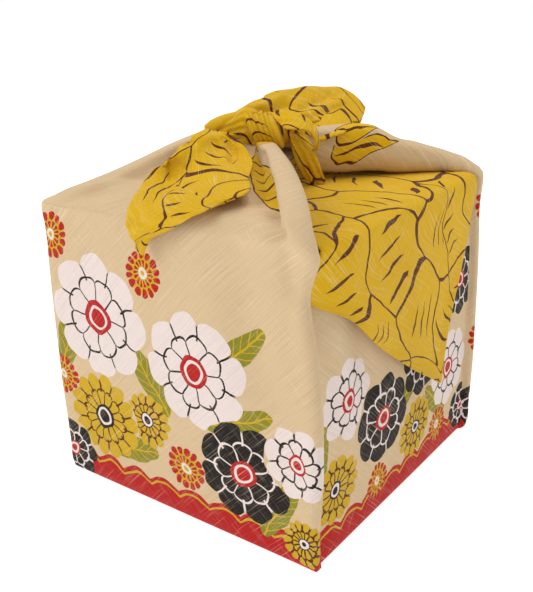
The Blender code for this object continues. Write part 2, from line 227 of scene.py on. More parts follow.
def wall_ring(height, in_by, bulge, lip, pinch):
    """One level of the walls: front, right, back and left runs of points, anticlockwise."""
    half = HALF_SIDE - in_by
    inner = half + LIP[0][0]
    front = [(-half - out, -half + back, height) for out, back in reversed(rolled_edge(lip))]
    front += [(column * inner, -half - bulge * (1.0 - column ** 2), height)
              for column in FACE_COLUMNS]
    front += [(half + out, -half + back, height) for out, back in rolled_edge(lip)]
    back_run = [(-x, -y, z) for x, y, z in front]
    lips = len(LIP)
    front[-lips:] = [(x - pinch, y, z) for x, y, z in front[-lips:]]
    recess = half + CREASE_OUT
    across = half - CREASE_BACK
    right = [(recess + bulge * (1.0 - column ** 2), column * across, height)
             for column in SIDE_COLUMNS]
    left = [(-x, -y, z) for x, y, z in right]
    right = front[-1:] + right + back_run[:1]
    left = back_run[-1:] + left + front[:1]
    return front, right, back_run, left


def gathered_row(step, low_edge, high_edge, folds, facing):
    """One row of a gathered corner; facing is -1 for the front one and 1 for the back one."""
    corners = []
    for side, table in ((-1, low_edge), (1, high_edge)):
        x_out, y_out, height, turn, drop = table[step]
        across = -side * facing
        corner = Vector((across * x_out, facing * y_out, height))
        upright = Vector((across, 0.0, 0.0))
        lying = Vector((across, -facing, 0.0)).normalized()
        outward = upright.lerp(lying, turn).normalized()
        normal = Vector((0.0, facing, 0.0)).lerp(Vector((0.0, 0.0, 1.0)), turn).normalized()
        corners.append([corner + outward * out - normal * back * drop for out, back in LIP])
    low, high = corners
    out, height = MIDDLE[step]
    rise = Vector((0.0, facing * out, height)) - low[0].lerp(high[0], 0.5)
    row = list(reversed(low))
    for column, fold in zip(FACE_COLUMNS, folds):
        point = low[0].lerp(high[0], 0.5 + 0.5 * column) + rise * (1.0 - column ** 2)
        point.z -= fold * FOLD_RISE[step]
        row.append(point)
    return [tuple(point) for point in row + high]


def smoothed(points, steps):
    """A smooth curve through points, along their first axis, with so many steps in each span."""
    chords = np.linalg.norm(np.diff(points, axis=0), axis=-1, keepdims=True) + 1e-6
    slopes = np.diff(points, axis=0) / chords
    inner = (slopes[:-1] * chords[1:] + slopes[1:] * chords[:-1]) / (chords[:-1] + chords[1:])
    tangents = np.concatenate([slopes[:1], inner, slopes[-1:]])
    line = [points[:1]]
    for span, count in enumerate(steps):
        t = (np.arange(1, count + 1) / count).reshape((-1,) + (1,) * (points.ndim - 1))
        chord = chords[span]
        line.append(
            (2.0 * t ** 3 - 3.0 * t ** 2 + 1.0) * points[span]
            + (t ** 3 - 2.0 * t ** 2 + t) * chord * tangents[span]
            + (3.0 * t ** 2 - 2.0 * t ** 3) * points[span + 1]
            + (t ** 3 - t ** 2) * chord * tangents[span + 1]
        )
    return np.concatenate(line)


def step_counts(points, pitch):
    """How many steps of the pitch the longest of each span takes, along the first axis."""
    lengths = np.linalg.norm(np.diff(points, axis=0), axis=-1)
    longest = lengths.reshape(len(lengths), -1).max(axis=1)
    return [max(1, round(length / pitch)) for length in longest]


def fine_net(rows, pitch, wall_steps=()):
    """A fine net through a coarse table of rows; the walls' own steps are given, to match."""
    points = np.array(rows, float)
    up_steps = list(wall_steps) + step_counts(points, pitch)[len(wall_steps):]
    points = smoothed(points, up_steps)
    sideways = points.transpose(1, 0, 2)
    return smoothed(sideways, step_counts(sideways, pitch)).transpose(1, 0, 2)


def measured_flat(points):
    """How far each point of a net lies across and up the cloth, measured along it."""
    across = np.linalg.norm(np.diff(points, axis=1), axis=-1)
    across = np.concatenate([np.zeros((len(points), 1)), np.cumsum(across, axis=1)], axis=1)
    across -= across[:, -1:] * 0.5
    up = np.linalg.norm(np.diff(points, axis=0), axis=-1)
    up = np.concatenate([np.zeros((1, points.shape[1])), np.cumsum(up, axis=0)])
    return across, up


def net_normals(points):
    """The net's normal at each point, out of its right side."""
    normals = np.cross(np.gradient(points, axis=1), np.gradient(points, axis=0))
    return normals / (np.linalg.norm(normals, axis=-1, keepdims=True) + 1e-9)


def creased(points, creases, lumps, still=0.0, from_edge=False):
    """The net with its soft creases and lumps; a border as wide as still stays as it is."""
    across, up = measured_flat(points)
    if from_edge:
        across = across - across[:, :1]
    rise = np.zeros(across.shape)
    for across_0, up_0, across_1, up_1, width, height in creases:
        run = np.array((across_1 - across_0, up_1 - up_0))
        share = (across - across_0) * run[0] + (up - up_0) * run[1]
        share = np.clip(share / run.dot(run), 0.0, 1.0)
        off = np.hypot(across - across_0 - share * run[0], up - up_0 - share * run[1])
        rise += height * np.exp(-(off / width) ** 2)
    if lumps:
        for row, column in np.ndindex(across.shape):
            spot = Vector((across[row, column], up[row, column], LUMP_SLICE)) / LUMP_SIZE
            rise[row, column] += lumps * noise.noise(spot)
    if still:
        edge = across[:, -1:] - np.abs(across)
        rise *= np.clip(edge / still, 0.0, 1.0) * np.clip(up / still, 0.0, 1.0)
    return points + net_normals(points) * rise[..., None]


def add_net(shape, points, flat):
    """One panel: a grid whose vertices go to the net's points, with their flat places as UVs."""
    rows, columns = len(points), len(points[0])
    grid = bmesh.ops.create_grid(shape, x_segments=columns - 1, y_segments=rows - 1, size=0.5)
    layer = shape.loops.layers.uv.verify()
    where = {}
    for vert in grid["verts"]:
        column = round((vert.co.x + 0.5) * (columns - 1))
        row = round((vert.co.y + 0.5) * (rows - 1))
        where[vert] = (row, column)
    for vert, (row, column) in where.items():
        vert.co = points[row][column]
    for face in {face for vert in where for face in vert.link_faces}:
        for loop in face.loops:
            loop[layer].uv = flat[where[loop.vert]]


def make_piece(name, shape, thickness):
    """A smooth piece of cloth in metres from a net in millimetres, with its thickness."""
    bmesh.ops.scale(shape, vec=(MM, MM, MM), verts=shape.verts)
    mesh = bpy.data.meshes.new(name)
    shape.to_mesh(mesh)
    shape.free()
    mesh.shade_smooth()
    mesh.uv_layers[0].name = "flat cloth"
    piece = bpy.data.objects.new(name, mesh)
    bpy.context.scene.collection.objects.link(piece)
    if thickness:
        solidify = piece.modifiers.new("thickness", "SOLIDIFY")
        solidify.thickness = thickness * MM
        solidify.offset = -1.0
    return piece


rings = [wall_ring(*row) for row in WALL]
heights = [row[0] for row in WALL]
wall_steps = [max(1, round((high - low) / PITCH)) for low, high in zip(heights, heights[1:])]
wall_rows = sum(wall_steps) + 1
front_rows, right_rows, back_rows, left_rows = [list(runs) for runs in zip(*rings)]
for step in range(len(MIDDLE)):
    front_rows.append(gathered_row(step, LEFT_EDGE, NEAR_EDGE, FRONT_FOLDS, -1))
    back_rows.append(gathered_row(step, RIGHT_EDGE, FAR_EDGE, BACK_FOLDS, 1))

crease_y = right_rows[-1][-1][1]
ends = [point[1] for point in right_rows[-1]]
for x, height, tuck in UNDER_SHEET:
    right_rows.append([
        (x - tuck * (0.5 - 0.5 * y / crease_y) ** TUCK_SHARPNESS, y, height) for y in ends
    ])
shares = [0.5 - 0.5 * point[1] / crease_y for point in left_rows[-1]]
for x, height, left_end, right_end, tuck in OVER_SHEET:
    left_rows.append([
        (x - tuck * share ** TUCK_SHARPNESS, right_end + (left_end - right_end) * share, height)
        for share in shares
    ])
for left_y, left_z, right_y, right_z, left_off, middle_off, right_off, tuck in HANGING:
    row = []
    for share in shares:
        off = right_off + (left_off - right_off) * share
        off += (middle_off - 0.5 * (left_off + right_off)) * 4.0 * share * (1.0 - share)
        row.append((
            HALF_SIDE + off - tuck * share ** TUCK_SHARPNESS,
            right_y + (left_y - right_y) * share,
            right_z + (left_z - right_z) * share,
        ))
    left_rows.append(row)

# Each panel: its rows, its creases, and on the flat cloth the way up it and the way across it.
panels = [
    (front_rows, FRONT_CREASES, (0.0, -1.0), (1.0, 0.0)),
    (right_rows, RIGHT_CREASES, (1.0, 0.0), (0.0, 1.0)),
    (back_rows, BACK_CREASES, (0.0, 1.0), (-1.0, 0.0)),
    (left_rows, LEFT_CREASES, (-1.0, 0.0), (0.0, -1.0)),
]
nets = []
for rows, creases, way_up, way_across in panels:
    net = fine_net(rows, PITCH, wall_steps)
    across, up = measured_flat(net)
    flat = (np.array(way_up) * (HALF_SIDE + up[..., None])
            + np.array(way_across) * across[..., None]) * MM
    nets.append((creased(net, creases, LUMPS, STILL_BORDER), flat))
for side in (1, 3):
    before = nets[side - 1][0]
    after = nets[(side + 1) % 4][0]
    nets[side][0][:wall_rows, 0] = before[:wall_rows, -1]
    nets[side][0][:wall_rows, -1] = after[:wall_rows, 0]

shape = bmesh.new()
for net, flat in nets:
    add_net(shape, net, flat)
bmesh.ops.remove_doubles(shape, verts=shape.verts, dist=WELD)
rim = [edge for edge in shape.edges
       if edge.is_boundary and max(vert.co.z for vert in edge.verts) < WELD]
base = bmesh.ops.contextual_create(shape, geom=rim)["faces"]
layer = shape.loops.layers.uv.verify()
for face in base:
    for loop in face.loops:
        loop[layer].uv = loop.vert.co.xy * MM
bmesh.ops.recalc_face_normals(shape, faces=base)
wrap = make_piece("wrapping_cloth", shape, CLOTH)


class Wire:
    """A shader socket that takes arithmetic: an expression on wires adds its Math nodes."""

    def __init__(self, tree, socket=None):
        self.tree = tree
        self.socket = socket

    def node(self, kind, settings=None, values=None, output=0):
        """Any node: its settings are set first, then its sockets' values or links."""
        made = self.tree.nodes.new(kind)
        for name, value in (settings or {}).items():
            if name == "stops":
                ramp = made.color_ramp
                ramp.interpolation = "CONSTANT"
                while len(ramp.elements) < len(value):
                    ramp.elements.new(1.0)
                for element, (position, tint) in zip(ramp.elements, value):
                    element.position = position
                    element.color = tint
            else:
                setattr(made, name, value)
        for name, value in (values or {}).items():
            if isinstance(value, Wire):
                self.tree.links.new(value.socket, made.inputs[name])
            else:
                made.inputs[name].default_value = value
        return Wire(self.tree, made.outputs[output])

    def math(self, operation, *values):
        """A Math node's result."""
        return self.node("ShaderNodeMath", {"operation": operation}, dict(enumerate(values)))

    def vector(self, operation, *values, output=0):
        """A Vector Math node's result; its output 1 is a number."""
        settings = {"operation": operation}
        return self.node("ShaderNodeVectorMath", settings, dict(enumerate(values)), output)

    def __add__(self, other):
        return self.math("ADD", self, other)

    __radd__ = __add__

    def __sub__(self, other):
        return self.math("SUBTRACT", self, other)

    def __rsub__(self, other):
        return self.math("SUBTRACT", other, self)

    def __mul__(self, other):
        return self.math("MULTIPLY", self, other)

    __rmul__ = __mul__

    def __truediv__(self, other):
        return self.math("DIVIDE", self, other)

    def __rtruediv__(self, other):
        return self.math("DIVIDE", other, self)

    def __abs__(self):
        return self.math("ABSOLUTE", self)

    def over(self, low):
        """1 where the value is above low, else 0."""
        return self.math("GREATER_THAN", self, low)

    def under(self, high):
        """1 where the value is below high, else 0."""
        return self.math("LESS_THAN", self, high)

    def pick(self, ground, value):
        """value where this mask is 1, over the ground, as numbers."""
        return self.node("ShaderNodeMix", {"data_type": "FLOAT"}, {0: self, 2: ground, 3: value})

    def pick_place(self, ground, place):
        """The place where this mask is 1, over the ground, as vectors."""
        settings = {"data_type": "VECTOR"}
        return self.node("ShaderNodeMix", settings, {0: self, 4: ground, 5: place}, 1)

    def paint(self, ground, tint):
        """The tint where this mask is 1, over the ground, as colours."""
        return self.node("ShaderNodeMix", {"data_type": "RGBA"}, {0: self, 6: ground, 7: tint}, 2)

    def parts(self):
        """The x, y and z of a vector."""
        made = self.tree.nodes.new("ShaderNodeSeparateXYZ")
        self.tree.links.new(self.socket, made.inputs[0])
        return [Wire(self.tree, socket) for socket in made.outputs]

    def noise(self, scale, detail=2.0, output=0):
        """Flat noise at this place, as a number, or as a colour from output 1."""
        values = {"Vector": self, "Scale": scale, "Detail": detail}
        return self.node("ShaderNodeTexNoise", {"noise_dimensions": "2D"}, values, output)


def colour(red, green, blue):
    """A colour as seen, from 0 to 255, as the shader's linear one."""
    linear = []
    for part in (red, green, blue):
        share = part / 255.0
        linear.append(share / 12.92 if share <= 0.04045 else ((share + 0.055) / 1.055) ** 2.4)
    return (*linear, 1.0)


BEIGE = colour(218, 190, 150)
YELLOW = colour(216, 168, 2)
BRIGHT_YELLOW = colour(228, 182, 12)
BROWN = colour(92, 44, 18)
RED = colour(184, 24, 24)
BLACK = colour(30, 23, 20)
WHITE = colour(236, 220, 214)
GREEN = colour(140, 136, 40)
GOLD = colour(208, 168, 28)
PALE_THREAD = colour(248, 234, 204)
DARK_THREAD = colour(120, 84, 52)

# The print on the cotton: round blossoms and olive leaves on the walls, a scalloped red band above
# the base, and corners covered with large yellow leaves. Places are millimetres across a wall and
# up from the base. The print makes half a turn for the walls behind.

# Where each wall's print has its middle. The cloth above the walls behind takes a part of its own.
FRONT, RIGHT, BACK = 0.0, 1000.0, 3000.0
BLOSSOMS = [
    # wall, across, up, radius, kind: 0 white, 1 black, 2 gold, 3 red
    (FRONT, -58.0, 122.0, 41.0, 0),
    (FRONT, 20.0, 106.0, 37.0, 0),
    (FRONT, -14.0, 158.0, 14.0, 3),
    (FRONT, -93.0, 170.0, 15.0, 3),
    (FRONT, -22.0, 62.0, 19.0, 2),
    (FRONT, 52.0, 50.0, 33.0, 1),
    (FRONT, -62.0, 52.0, 31.0, 2),
    (FRONT, -97.0, 74.0, 14.0, 3),
    (FRONT, 89.0, 68.0, 23.0, 0),
    (FRONT, 8.0, 38.0, 15.0, 3),
    (FRONT, -96.0, 18.0, 22.0, 1),
    (FRONT, 93.0, 18.0, 15.0, 2),
    (RIGHT, -66.0, 96.0, 25.0, 0),
    (RIGHT, -27.0, 66.0, 29.0, 1),
    (RIGHT, 23.0, 87.0, 26.0, 1),
    (RIGHT, -76.0, 42.0, 22.0, 2),
    (RIGHT, 16.0, 40.0, 21.0, 2),
    (RIGHT, 66.0, 62.0, 28.0, 0),
    (RIGHT, 78.0, 122.0, 25.0, 1),
    (RIGHT, -30.0, 24.0, 12.0, 3),
    (RIGHT, 52.0, 24.0, 13.0, 3),
    (RIGHT, 92.0, 22.0, 18.0, 1),
]
LEAVES = [
    # wall, across, up, half length, half width, turn in degrees, kind: 0 olive, 1 yellow with
    # short strokes, 2 yellow with a long one, 3 the same but half a leaf
    (FRONT, -88.0, 104.0, 27.0, 9.0, 70.0, 0),
    (FRONT, -18.0, 92.0, 26.0, 9.0, 125.0, 0),
    (FRONT, 48.0, 82.0, 26.0, 8.5, 20.0, 0),
    (FRONT, -40.0, 36.0, 26.0, 9.0, 10.0, 0),
    (FRONT, 76.0, 34.0, 24.0, 8.0, 60.0, 0),
    (FRONT, 52.0, 126.0, 22.0, 7.5, 40.0, 0),
    (RIGHT, -92.0, 70.0, 24.0, 8.0, 80.0, 0),
    (RIGHT, 0.0, 70.0, 24.0, 8.0, 30.0, 0),
    (RIGHT, 46.0, 112.0, 24.0, 8.0, 100.0, 0),
    (RIGHT, 46.0, 46.0, 22.0, 8.0, 140.0, 0),
    (FRONT, 36.0, 259.0, 52.0, 13.5, -49.0, 1),
    (BACK, -47.4, 273.4, 23.8, 10.0, 60.3, 3),
    (BACK, -37.0, 282.8, 17.5, 6.0, 60.3, 2),
]
# A blossom kind's petals, the lines on them and its eye.
PETALS = (WHITE, BLACK, GOLD, RED)
PETAL_LINES = (BLACK, WHITE, BROWN, GOLD)
EYES = (RED, RED, BLACK, GOLD)
# A blossom's parts, as shares of its radius, and its lines' half widths in millimetres. HIDDEN is
# a place that no wall reaches.
HIDDEN = -9000.0
FEW_PETALS, MANY_PETALS = 8.0, 14.0
PETAL_EDGE, PETAL_SWELL = 0.79, 0.2
INNER_EDGE, INNER_SWELL = 0.49, 0.13
LINES_FROM, INNER_LINES_TO = 0.56, 0.5
EYE, EYE_RING = 0.27, 0.17
PETAL_LINE, INNER_LINE, RING_LINE, EYE_LINE = 0.65, 0.5, 0.75, 0.9
# Brush strokes: half length, spacing, half thickness, and how far their row runs to each side.
LONG_STROKES = (16.0, 8.5, 0.85, 14.0)
RUNGS = (10.0, 13.0, 1.3, 27.0)
STROKE_CURVE = 0.012
# An olive leaf's veins and a yellow leaf's outline, in millimetres but for the slant and share.
VEIN_GAP, VEIN_SLANT, VEIN_SHARE, MIDRIB = 7.0, 1.3, 0.13, 0.6
LEAF_OUTLINE = 0.8
SHORT_STROKE_CURVE = 1.4
HALF_LEAF_STROKE = 4.2
SIDE_REACH = 100.0
BAND_TOP = 22.0
BAND_DEEP = 4.0
BAND_LINE = 0.8
SCALLOP_LONG, SCALLOP_HIGH = 24.0, 5.0
# The leaves of the covered corners, and how far up the flat cloth they start.
LEAF_WIDE = 40.0
LEAF_LONG = 66.0
LEAF_LUCK = 0.7
LEAF_BEND = 46.0
LEAF_CLEAR = 0.07
LEAF_TILT = 0.8
LINE_LEAST, LINE_UNEVEN = 0.0135, 0.012
BEND_SCALE, LINE_SCALE, TINT_SCALE = 0.013, 0.05, 0.02
YELLOW_FROM = 268.0
YELLOW_FROM_FRONT = 325.0
BACK_LEAVES_FROM = 200.0


def choose(start, kind, tints):
    """One of the tints by the kind's number."""
    stops = [(number / len(tints), tint) for number, tint in enumerate(tints)]
    return start.node("ShaderNodeValToRGB", {"stops": stops}, {0: (kind + 0.5) / len(tints)})


def draw_blossoms(start, place, picture):
    """Round blossoms of two rings of petals: a point takes the last one that holds it."""
    centre = start.node("ShaderNodeCombineXYZ", None, {0: 0.0, 1: HIDDEN, 2: 1.0})
    kind = start.node("ShaderNodeValue")
    for wall, across, up, radius, number in BLOSSOMS:
        reach = start.vector("DISTANCE", place, (wall + across, up, 0.0), output=1)
        inside = reach.under(radius)
        centre = inside.pick_place(centre, (wall + across, up, radius))
        kind = inside.pick(kind, float(number))
    x, y, _ = place.parts()
    centre_x, centre_y, radius = centre.parts()
    off_x = x - centre_x
    off_y = y - centre_y
    reach = start.math("SQRT", off_x * off_x + off_y * off_y) / radius
    angle = start.math("ARCTAN2", off_y, off_x)
    petals = kind.over(1.5).pick(FEW_PETALS, MANY_PETALS)
    wave = abs(start.math("COSINE", angle * petals * 0.5 + radius))
    inner_wave = abs(start.math("SINE", angle * petals * 0.5 + radius))
    edge = start.math("POWER", wave, 0.5) * PETAL_SWELL + PETAL_EDGE
    inner_edge = start.math("POWER", inner_wave, 0.5) * INNER_SWELL + INNER_EDGE
    inside = reach.under(edge)
    picture = inside.paint(picture, choose(start, kind, PETALS))
    lines = (wave * reach * radius * 2.0 / petals).under(PETAL_LINE) * reach.over(LINES_FROM)
    inner_lines = (inner_wave * reach * radius * 2.0 / petals).under(INNER_LINE)
    inner_lines = inner_lines * reach.under(INNER_LINES_TO)
    ring = abs(reach - inner_edge).under(RING_LINE / radius)
    lines = start.math("MAXIMUM", lines, start.math("MAXIMUM", ring, inner_lines))
    picture = (lines * inside).paint(picture, choose(start, kind, PETAL_LINES))
    picture = reach.under(EYE).paint(picture, choose(start, kind, EYES))
    return (abs(reach - EYE_RING) * radius).under(EYE_LINE).paint(picture, WHITE)


def draw_strokes(start, run, stack, rungs, luck, leaf, tilt):
    """Lens-shaped brush strokes in a row: short rungs across a leaf, or long ones along it."""
    reach, gap, thick, row = [rungs.pick(long, rung) for long, rung in zip(LONG_STROKES, RUNGS)]
    stack = stack + run * tilt + run * run * luck * STROKE_CURVE
    share = run / reach
    # The 20 keeps the count of strokes above nought, and the half centres one on the row's middle.
    off = abs(start.math("FRACT", stack / gap + 20.5) - 0.5) * gap
    return off.under(thick * (1.0 - share * share)) * abs(stack).under(row) * leaf


def draw_leaves(start, place, picture):
    """Olive leaves with a midrib and side veins, and yellow ones with strokes across or along."""
    # Both start away from every leaf, and change where a leaf holds the place.
    spot = start.node("ShaderNodeCombineXYZ", None, {0: 9.0, 1: 9.0, 2: 0.0})
    size = start.node("ShaderNodeCombineXYZ", None, {0: 10.0, 1: 5.0, 2: 0.0})
    for wall, across, up, long, wide, turn, kind in LEAVES:
        values = {
            "Vector": place, "Location": (wall + across, up, 0.0),
            "Rotation": (0.0, 0.0, math.radians(turn)), "Scale": (long, wide, 1.0),
        }
        own_place = start.node("ShaderNodeMapping", {"vector_type": "TEXTURE"}, values)
        inside = start.vector("LENGTH", own_place, output=1).under(1.0)
        spot = inside.pick_place(spot, own_place)
        size = inside.pick_place(size, (long, wide, float(kind)))
    share, side_share, _ = spot.parts()
    long, wide, kind = size.parts()
    along = share * long
    side = side_share * wide
    yellow = kind.over(0.5)
    curve = 1.0 - share * share
    half = kind.over(2.5)
    inside = abs(side).under(wide * yellow.pick(start.math("POWER", curve, 0.5), curve))
    inside = inside * side.over(half * SIDE_REACH - SIDE_REACH)
    picture = inside.paint(picture, yellow.paint(GREEN, BRIGHT_YELLOW))
    vein = start.math("FRACT", (along - abs(side) * VEIN_SLANT) / VEIN_GAP + 40.0)
    vein = start.math("MAXIMUM", vein.under(VEIN_SHARE), abs(side).under(MIDRIB)) * (1.0 - yellow)
    picture = (vein * inside).paint(picture, GOLD)
    short = kind.under(1.5)
    inner = abs(side).under(wide * curve - short * 0.5 - LEAF_OUTLINE)
    inner = inner * side.over(half * (SIDE_REACH + LEAF_OUTLINE) - SIDE_REACH)
    run = short.pick(along, side)
    stack = short.pick(side - half * HALF_LEAF_STROKE, along)
    strokes = draw_strokes(start, run, stack, short, short * SHORT_STROKE_CURVE, inner, 0.0)
    line = start.math("MAXIMUM", strokes, 1.0 - inner)
    return (line * inside * yellow).paint(picture, BROWN)


def draw_yellow_corners(start, place, right, picture):
    """The corners' leaves: cells, each with an outline and a few brush strokes."""
    bend = start.vector("SUBTRACT", place.noise(BEND_SCALE, 1.0, 1), (0.5, 0.5, 0.0))
    bent = start.vector("MULTIPLY_ADD", bend, (LEAF_BEND, LEAF_BEND, 0.0), place)
    cell = start.vector("MULTIPLY", bent, (1.0 / LEAF_WIDE, 1.0 / LEAF_LONG, 1.0))
    values = {"Vector": cell, "Scale": 1.0, "Randomness": LEAF_LUCK}
    settings = {"voronoi_dimensions": "2D", "feature": "F1"}
    luck = start.node("ShaderNodeTexVoronoi", settings, values, "Color")
    heart = start.node("ShaderNodeTexVoronoi", settings, values, "Position")
    settings = {"voronoi_dimensions": "2D", "feature": "DISTANCE_TO_EDGE"}
    border = start.node("ShaderNodeTexVoronoi", settings, values, "Distance")
    luck_1, luck_2, luck_3 = luck.parts()
    heart_x, heart_y, _ = heart.parts()
    cell_x, cell_y, _ = cell.parts()
    yellow = (heart_y * LEAF_LONG).over(right.pick(YELLOW_FROM_FRONT, YELLOW_FROM))
    across = (cell_x - heart_x) * LEAF_WIDE
    along = (cell_y - heart_y) * LEAF_LONG
    rungs = luck_1.over(0.5)
    run = rungs.pick(along, across)
    stack = rungs.pick(across, along)
    leaf = border.over(LEAF_CLEAR)
    strokes = draw_strokes(start, run, stack, rungs, luck_3 - 0.5, leaf, (luck_2 - 0.5) * LEAF_TILT)
    line = border.under(place.noise(LINE_SCALE, 0.0) * LINE_UNEVEN + LINE_LEAST)
    picture = yellow.paint(picture, place.noise(TINT_SCALE, 1.0).paint(YELLOW, BRIGHT_YELLOW))
    return (start.math("MAXIMUM", strokes, line) * yellow).paint(picture, BROWN)


# Threads to the metre: their thick places are about 40 mm long and 0.6 mm wide.
THREAD_ALONG = 1.0 / 0.040
THREAD_ACROSS = 1.0 / 0.00062
CROSS_SHORTER = 1.6
PALE_FROM, PALE_GAIN = 0.61, 2.0
CROSS_FROM, CROSS_GAIN = 0.63, 1.4
PALE_MOST = 0.34
DARK_TO, DARK_GAIN = 0.46, 0.6
WOBBLE_SCALE, WOBBLE = 70.0, 0.004


def printed_cotton():
    """Slub cotton: the print on uneven threads that run on both diagonals of the bundle."""
    material = bpy.data.materials.new("printed slub cotton")
    material.use_nodes = True
    tree = material.node_tree
    surface = tree.nodes["Principled BSDF"]
    start = Wire(tree)
    flat = start.node("ShaderNodeUVMap", {"uv_map": "flat cloth"})
    wobble = start.vector("SUBTRACT", flat.noise(WOBBLE_SCALE, 1.0, 1), (0.5, 0.5, 0.0))
    drawn = start.vector("MULTIPLY_ADD", wobble, (WOBBLE, WOBBLE, 0.0), flat)
    x, y, _ = drawn.parts()
    # The back and left walls turn onto the front and right ones, and then the wall that the
    # place is on gives the way across and up.
    behind = (x - y).under(0.0)
    half_turn = 1.0 - behind * 2.0
    x = x * half_turn / MM
    y = y * half_turn / MM
    right = (x + y).over(0.0)
    rise = start.math("MAXIMUM", abs(x), abs(y))
    across = x + y - (right * 2.0 - 1.0) * rise
    up = rise - HALF_SIDE
    along = across + right * RIGHT + behind * up.over(BACK_LEAVES_FROM) * BACK
    place = start.node("ShaderNodeCombineXYZ", None, {0: along, 1: up})

    picture = start.node("ShaderNodeRGB")
    picture.socket.default_value = BEIGE
    scallop = abs(start.math("SINE", across * (math.pi / SCALLOP_LONG)))
    band_edge = scallop * SCALLOP_HIGH + BAND_TOP - BAND_DEEP
    picture = up.under(band_edge).paint(picture, RED)
    picture = abs(up - band_edge + BAND_DEEP).under(BAND_LINE).paint(picture, GOLD)
    picture = draw_leaves(start, place, picture)
    picture = draw_blossoms(start, place, picture)
    picture = draw_yellow_corners(start, place, right, picture)

    flat_x, flat_y, _ = flat.parts()
    warp = (flat_x - flat_y) * math.sqrt(0.5)
    weft = (flat_x + flat_y) * math.sqrt(0.5)
    values = {0: weft * THREAD_ACROSS, 1: warp * THREAD_ALONG}
    slub = start.node("ShaderNodeCombineXYZ", None, values).noise(1.0, 2.0)
    values = {0: warp * THREAD_ACROSS, 1: weft * THREAD_ALONG * CROSS_SHORTER}
    cross_slub = start.node("ShaderNodeCombineXYZ", None, values).noise(1.0, 2.0)
    pale = start.math("MAXIMUM", slub - PALE_FROM, 0.0) * PALE_GAIN
    cross_pale = start.math("MAXIMUM", cross_slub - CROSS_FROM, 0.0) * CROSS_GAIN
    pale = start.math("MINIMUM", pale + cross_pale, PALE_MOST)
    picture = pale.paint(picture, PALE_THREAD)
    dark = start.math("MAXIMUM", DARK_TO - slub, 0.0) * DARK_GAIN
    picture = dark.paint(picture, DARK_THREAD)
    tree.links.new(picture.socket, surface.inputs["Base Color"])

    relief = slub + cross_slub * 0.7
    values = {"Strength": 0.6, "Distance": 0.0005, "Height": relief}
    bump = start.node("ShaderNodeBump", None, values)
    tree.links.new(bump.socket, surface.inputs["Normal"])
    surface.inputs["Roughness"].default_value = 0.88
    surface.inputs["Specular IOR Level"].default_value = 0.2
    surface.inputs["Sheen Weight"].default_value = 0.06
    surface.inputs["Sheen Roughness"].default_value = 0.5
    return material


cotton = printed_cotton()
wrap.data.materials.append(cotton)
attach(wrap, "root")
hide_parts("furoshiki_cloth")

# The knot. The gathered corners cross and one turns round the other: a tight turn over the
# middle, a full lobe at the left, an open loop at the right and the neck that goes down from it
# to the back corner. Each is a strand of the same cloth, drawn into creases.
STRAND_PITCH = 0.55
KNOT_PITCH = 0.9
KNOT_CORE = [
    # x, y, z, half wide, half high
    (0.0, -14.5, 221.0, 6.0, 4.0),
    (0.0, -11.5, 221.5, 9.0, 6.5),
    (0.0, -4.0, 222.5, 11.0, 9.0),
    (0.0, 5.0, 222.5, 11.0, 9.0),
    (0.0, 14.0, 220.5, 11.0, 7.0),
    (0.0, 19.0, 219.0, 7.0, 4.0),
]
KNOT_TURN = [
    (-3.6, -12.6, 226.0, 6.0, 6.0),
    (-2.4, -11.7, 226.0, 10.5, 9.8),
    (-0.4, -10.2, 226.0, 12.4, 11.8),
    (3.6, -7.2, 226.0, 13.2, 12.2),
    (7.6, -4.2, 226.0, 12.6, 11.8),
    (9.6, -2.7, 226.0, 10.5, 9.8),
    (10.8, -1.8, 226.0, 6.0, 6.0),
]
KNOT_LEAN = (-0.34, -0.26, 0.0)
KNOT_LOBE = [
    (5.0, -3.0, 223.0, 6.0, 7.0),
    (-1.0, -8.0, 224.8, 6.8, 11.0),
    (-6.0, -12.0, 226.4, 7.4, 13.0),
    (-12.5, -15.5, 226.6, 7.0, 11.2),
    (-19.0, -18.5, 227.6, 6.0, 8.3),
    (-25.0, -22.5, 228.0, 4.4, 4.8),
    (-29.0, -25.5, 227.6, 2.0, 1.6),
]
KNOT_NECK = [
    (14.5, 1.5, 228.0, 2.0, 2.5),
    (17.5, 1.8, 222.0, 2.8, 3.2),
    (21.0, 3.6, 216.0, 4.8, 3.8),
    (24.0, 5.6, 209.5, 6.4, 4.0),
    (26.0, 7.8, 203.0, 6.3, 3.6),
    (27.5, 10.8, 196.5, 5.6, 2.8),
    (29.0, 14.0, 191.0, 4.5, 2.0),
]
# Creases of a strand: across its upper side and along it, as on the panels.
TURN_CREASES = [
    (-24.0, 3.6, 38.0, 8.6, 0.9, -1.6),
    (-24.0, 8.2, 38.0, 10.8, 1.0, -2.2),
    (-24.0, 12.8, 38.0, 13.2, 0.9, -1.8),
    (-24.0, 17.0, 38.0, 15.4, 1.0, -2.2),
    (-24.0, 20.6, 38.0, 17.8, 0.9, -1.6),
]
LOBE_CREASES = [
    (-2.0, 6.0, -7.0, 30.0, 2.0, -0.8),
    (-9.0, 8.0, -11.0, 34.0, 1.7, -1.1),
    (-15.0, 6.0, -14.0, 26.0, 1.5, -1.1),
    (-22.0, 8.0, -18.0, 32.0, 1.8, -0.9),
]
NECK_CREASES = [
    (-4.2, 6.0, -4.0, 40.0, 1.1, -1.5),
    (0.4, 8.0, 1.0, 42.0, 1.2, -1.9),
    (5.0, 6.0, 4.2, 38.0, 1.1, -1.4),
]
